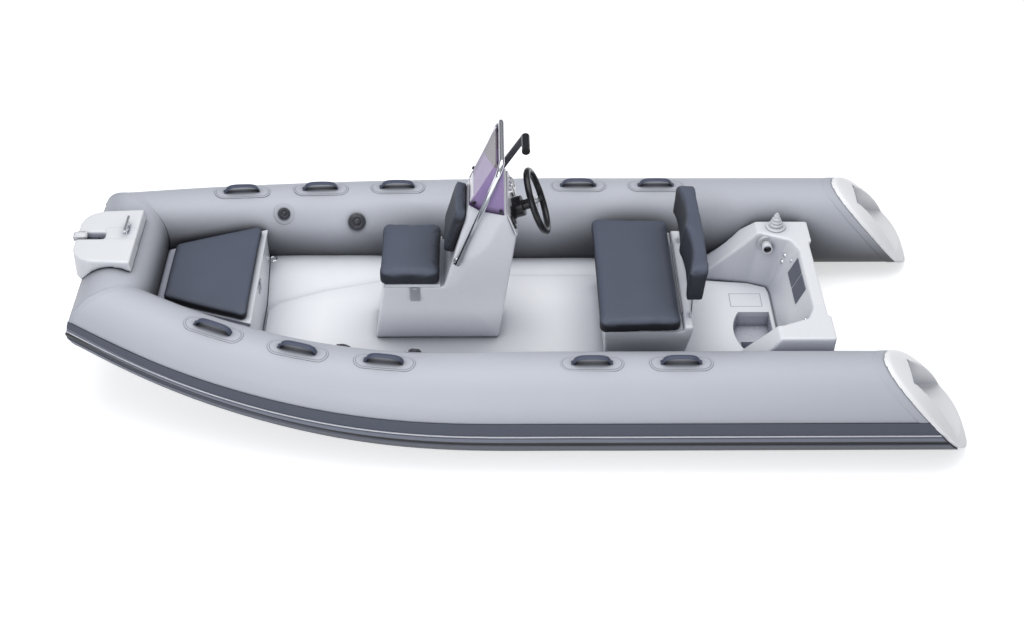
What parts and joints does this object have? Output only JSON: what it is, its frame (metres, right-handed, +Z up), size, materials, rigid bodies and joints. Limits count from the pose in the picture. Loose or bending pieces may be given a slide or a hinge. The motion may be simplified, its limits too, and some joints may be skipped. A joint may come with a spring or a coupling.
{
  "type": "rigid inflatable boat",
  "caption": "Rigid inflatable boat with grey tubes, centre console, windscreen, bow locker, padded seats and stepped stern caps.",
  "frame": {"origin": "on the waterline at the boat's centre plane, under the console's aft end", "axes": "+X towards the bow, +Y to port, +Z up"},
  "size_m": [4.2477, 1.8988, 1.3633],
  "materials": {
    "tube_fabric": "matte coated fabric",
    "dark_rubber": "satin",
    "white_rubber": "satin",
    "cap_white": "satin",
    "hull_gelcoat": "gloss",
    "deck_gelcoat": "fine non-slip texture",
    "cushion_cover": "grained cover",
    "stainless": "polished",
    "tinted_screen": "clear tint",
    "black_plastic": "satin",
    "satin_metal": "satin",
    "bright_ring": "polished",
    "white_plastic": "satin",
    "handle_webbing": "moulded rubber",
    "slate_pad": "ribbed pad"
  },
  "bodies": {
    "boat": {"tube_port": "tube_fabric", "tube_starboard": "tube_fabric", "tube_bow": "tube_fabric", "rub_strake_port": "dark_rubber", "rub_strake_starboard": "dark_rubber", "rub_strake_bow": "dark_rubber", "strake_piping_port": "white_rubber", "strake_piping_starboard": "white_rubber", "strake_piping_bow": "white_rubber", "stern_caps": "cap_white", "bow_step": "cap_white", "hull": "hull_gelcoat", "transom_moulding": "hull_gelcoat", "bow_locker": "hull_gelcoat", "console": "hull_gelcoat", "rear_seat_box": "hull_gelcoat", "deck_liner": "deck_gelcoat", "sole_panel": "deck_gelcoat", "console_backrest_cushion": "cushion_cover", "rear_backrest": "cushion_cover", "screen_rail": "stainless", "backrest_supports": "stainless", "bow_cleat": "stainless", "latches": "stainless", "pad_eyes": "stainless", "lid_hinge_pins": "stainless", "windscreen": "tinted_screen", "helm_unit": "black_plastic", "dash_panel": "black_plastic", "switches": "black_plastic", "control_housing": "black_plastic", "control_grip": "black_plastic", "screen_bolts": "black_plastic", "tube_valves": "black_plastic", "control_lever": "satin_metal", "gauge_bezels": "bright_ring", "roller_fairlead": "white_plastic", "rigging_elbow": "white_plastic", "cable_gland": "white_plastic", "transom_pads": "slate_pad", "grab_handles": "handle_webbing"},
    "bow_lid": {"bow_locker_lid": "deck_gelcoat", "bow_cushion": "cushion_cover"},
    "console_seat": {"console_seat_lid": "deck_gelcoat", "console_seat_cushion": "cushion_cover"},
    "rear_seat": {"rear_seat_lid": "deck_gelcoat", "rear_cushion": "cushion_cover"},
    "steering_wheel": {"steering_wheel_hub": "stainless", "steering_wheel_rim": "black_plastic"},
    "roller": {"bow_roller": "black_plastic"}
  },
  "joints": [
    {"name": "steering", "type": "hinge", "parent": "boat", "child": "steering_wheel", "pos_m": [0.0415, 0, 0.8145], "axis": [-0.9387, 0, 0.3448], "range_deg": [-630, 630]},
    {"name": "bow_locker_hinge", "type": "hinge", "parent": "boat", "child": "bow_lid", "pos_m": [1.726, 0, 0.4043], "axis": [0, 1, 0], "range_deg": [0, 45]},
    {"name": "console_seat_hinge", "type": "hinge", "parent": "boat", "child": "console_seat", "pos_m": [0.53, -0.194, 0.4943], "axis": [1, 0, 0], "range_deg": [0, 90]},
    {"name": "rear_seat_hinge", "type": "hinge", "parent": "boat", "child": "rear_seat", "pos_m": [-0.766, 0, 0.4033], "axis": [0, -1, 0], "range_deg": [0, 35]},
    {"name": "bow_roller_turn", "type": "hinge", "parent": "boat", "child": "roller", "pos_m": [2.126, 0, 0.612], "axis": [0, 1, 0], "continuous": true}
  ]
}
